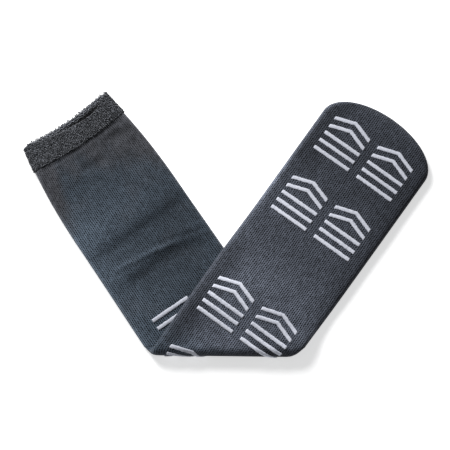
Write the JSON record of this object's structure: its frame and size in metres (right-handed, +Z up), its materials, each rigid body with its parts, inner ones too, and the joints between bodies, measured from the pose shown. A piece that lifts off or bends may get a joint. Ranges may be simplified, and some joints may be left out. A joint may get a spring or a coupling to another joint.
{
  "type": "slipper sock",
  "caption": "Terry-lined slipper sock lying slack, its foot folded over its leg, with an open terry cuff and rubber grip treads on the sole.",
  "frame": {"origin": "middle of the footprint on the floor", "axes": "+Z up, +Y along the leg towards the open cuff; the foot runs from the fold towards +X and a little +Y"},
  "size_m": [0.3168, 0.3028, 0.0252],
  "materials": {
    "knit": "slate grey fine jersey knit, terry lined, matt",
    "terry": "dark slate grey terry loop pile",
    "tread_rubber": "off-white printed rubber, slightly domed, satin"
  },
  "bodies": {
    "root": {"sock": "knit", "terry_cuff": "terry", "tread_toe_left_bar_a": "tread_rubber", "tread_toe_left_bar_b": "tread_rubber", "tread_toe_left_bar_c": "tread_rubber", "tread_toe_left_chevron_a": "tread_rubber", "tread_toe_left_chevron_b": "tread_rubber", "tread_toe_right_bar_a": "tread_rubber", "tread_toe_right_bar_b": "tread_rubber", "tread_toe_right_bar_c": "tread_rubber", "tread_toe_right_chevron_a": "tread_rubber", "tread_toe_right_chevron_b": "tread_rubber", "tread_ball_left_bar_a": "tread_rubber", "tread_ball_left_bar_b": "tread_rubber", "tread_ball_left_bar_c": "tread_rubber", "tread_ball_left_chevron_a": "tread_rubber", "tread_ball_left_chevron_b": "tread_rubber", "tread_ball_right_bar_a": "tread_rubber", "tread_ball_right_bar_b": "tread_rubber", "tread_ball_right_bar_c": "tread_rubber", "tread_ball_right_chevron_a": "tread_rubber", "tread_ball_right_chevron_b": "tread_rubber", "tread_heel_left_bar_a": "tread_rubber", "tread_heel_left_bar_b": "tread_rubber", "tread_heel_left_bar_c": "tread_rubber", "tread_heel_left_chevron_a": "tread_rubber", "tread_heel_left_chevron_b": "tread_rubber", "tread_heel_right_bar_a": "tread_rubber", "tread_heel_right_bar_b": "tread_rubber", "tread_heel_right_bar_c": "tread_rubber", "tread_heel_right_chevron_a": "tread_rubber", "tread_heel_right_chevron_b": "tread_rubber", "tread_front_bar_a": "tread_rubber", "tread_front_bar_b": "tread_rubber", "tread_ankle_chevron_b": "tread_rubber", "tread_ankle_chevron_a": "tread_rubber", "tread_ankle_bar_c": "tread_rubber"}
  },
  "joints": []
}
